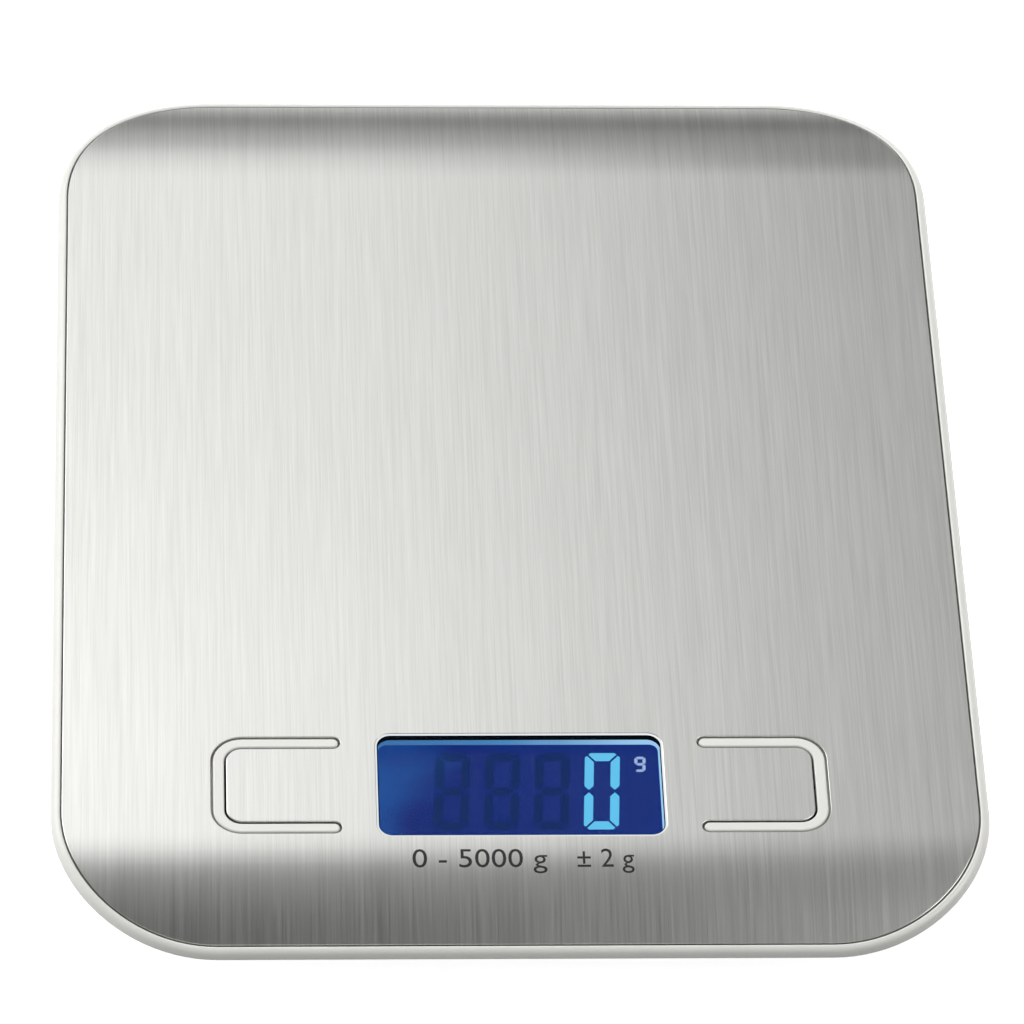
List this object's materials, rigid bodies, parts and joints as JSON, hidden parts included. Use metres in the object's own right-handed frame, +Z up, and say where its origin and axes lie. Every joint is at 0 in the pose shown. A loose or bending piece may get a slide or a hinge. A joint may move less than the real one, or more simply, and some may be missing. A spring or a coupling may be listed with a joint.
{
  "type": "digital gram scale",
  "caption": "Slim digital gram scale: rolled brushed-steel platform with sprung keys and a lit display on a white moulded housing with sensor feet.",
  "frame": {"origin": "centre of the footprint, on the plane the feet stand on", "axes": "+Z up, +X to the user's right, -Y towards the user (the display end), +Y to the back"},
  "size_m": [0.163, 0.2064, 0.017],
  "materials": {
    "brushed_stainless": "brushed front to back, satin",
    "white_abs": "moulded, semi-gloss white",
    "white_abs_base": "moulded, fine spark-eroded texture",
    "white_abs_inner": "moulded, plain",
    "clear_acrylic": "clear, polished",
    "display_glass": "negative display glass, deep blue when lit",
    "black_abs": "moulded, plain",
    "light_guide_acrylic": "clear acrylic, lit from its end",
    "white_film": "white film",
    "led_epoxy": "cast epoxy",
    "zebra_rubber": "layered silicone",
    "board_laminate": "green solder mask",
    "black_epoxy": "cast epoxy",
    "ceramic_parts": "fired ceramic",
    "switch_plastic": "moulded, plain",
    "gauge_film": "polyimide film",
    "battery_jacket": "plain printed sleeve",
    "nickel_plate": "nickel plated",
    "zinc_screw": "zinc plated",
    "lead_red": "PVC sleeve",
    "lead_black": "PVC sleeve",
    "cell_steel": "stamped, satin",
    "foot_rubber": "moulded, matt grey"
  },
  "bodies": {
    "housing": {"steel_platform": "brushed_stainless", "upper_housing": "white_abs", "lower_housing": "white_abs_base", "display_window": "clear_acrylic", "lcd_panel": "display_glass", "lcd_frame": "black_abs", "light_guide": "light_guide_acrylic", "reflector_foil": "white_film", "backlight_leds": "led_epoxy", "zebra_strip": "zebra_rubber", "main_board": "board_laminate", "controller_chip": "black_epoxy", "board_parts": "ceramic_parts", "tare_switch": "switch_plastic", "unit_switch": "switch_plastic", "load_cell_fl": "cell_steel", "load_cell_fr": "cell_steel", "load_cell_bl": "cell_steel", "load_cell_br": "cell_steel", "strain_gauges": "gauge_film", "foot_fl": "white_abs_inner", "foot_fr": "white_abs_inner", "foot_bl": "white_abs_inner", "foot_br": "white_abs_inner", "pad_fl": "foot_rubber", "pad_fr": "foot_rubber", "pad_bl": "foot_rubber", "pad_br": "foot_rubber", "battery_front": "battery_jacket", "battery_back": "battery_jacket", "battery_springs": "nickel_plate", "battery_plates": "nickel_plate", "housing_screws": "zinc_screw", "board_screws": "zinc_screw", "sensor_leads": "lead_red", "battery_leads": "lead_black"},
    "tare_key": {"tare_key": "brushed_stainless", "tare_stiffener": "white_abs_inner"},
    "unit_key": {"unit_key": "brushed_stainless", "unit_stiffener": "white_abs_inner"},
    "tare_plunger": {"tare_plunger": "black_abs"},
    "unit_plunger": {"unit_plunger": "black_abs"},
    "battery_door": {"battery_door": "white_abs_base"}
  },
  "joints": [
    {"name": "tare_key_press", "type": "hinge", "parent": "housing", "child": "tare_key", "pos_m": [-0.0325, -0.06875, 0.0165], "axis": [0, -1, 0], "range_deg": [0, 1.2], "stiffness_Nm_per_rad": 1},
    {"name": "unit_key_press", "type": "hinge", "parent": "housing", "child": "unit_key", "pos_m": [0.0325, -0.06875, 0.0165], "axis": [0, 1, 0], "range_deg": [0, 1.2], "stiffness_Nm_per_rad": 1},
    {"name": "tare_plunger_slide", "type": "slide", "parent": "housing", "child": "tare_plunger", "axis": [0, 0, -1], "range_m": [0, 0.0003]},
    {"name": "unit_plunger_slide", "type": "slide", "parent": "housing", "child": "unit_plunger", "axis": [0, 0, -1], "range_m": [0, 0.0003]},
    {"name": "battery_door_swing", "type": "hinge", "parent": "housing", "child": "battery_door", "pos_m": [0, 0.0293, 0.002], "axis": [1, 0, 0], "range_deg": [0, 70]}
  ],
  "couplings": [
    {"joint": "tare_plunger_slide", "follows": "tare_key_press", "m_per_rad": 0.0135},
    {"joint": "unit_plunger_slide", "follows": "unit_key_press", "m_per_rad": 0.0135}
  ]
}
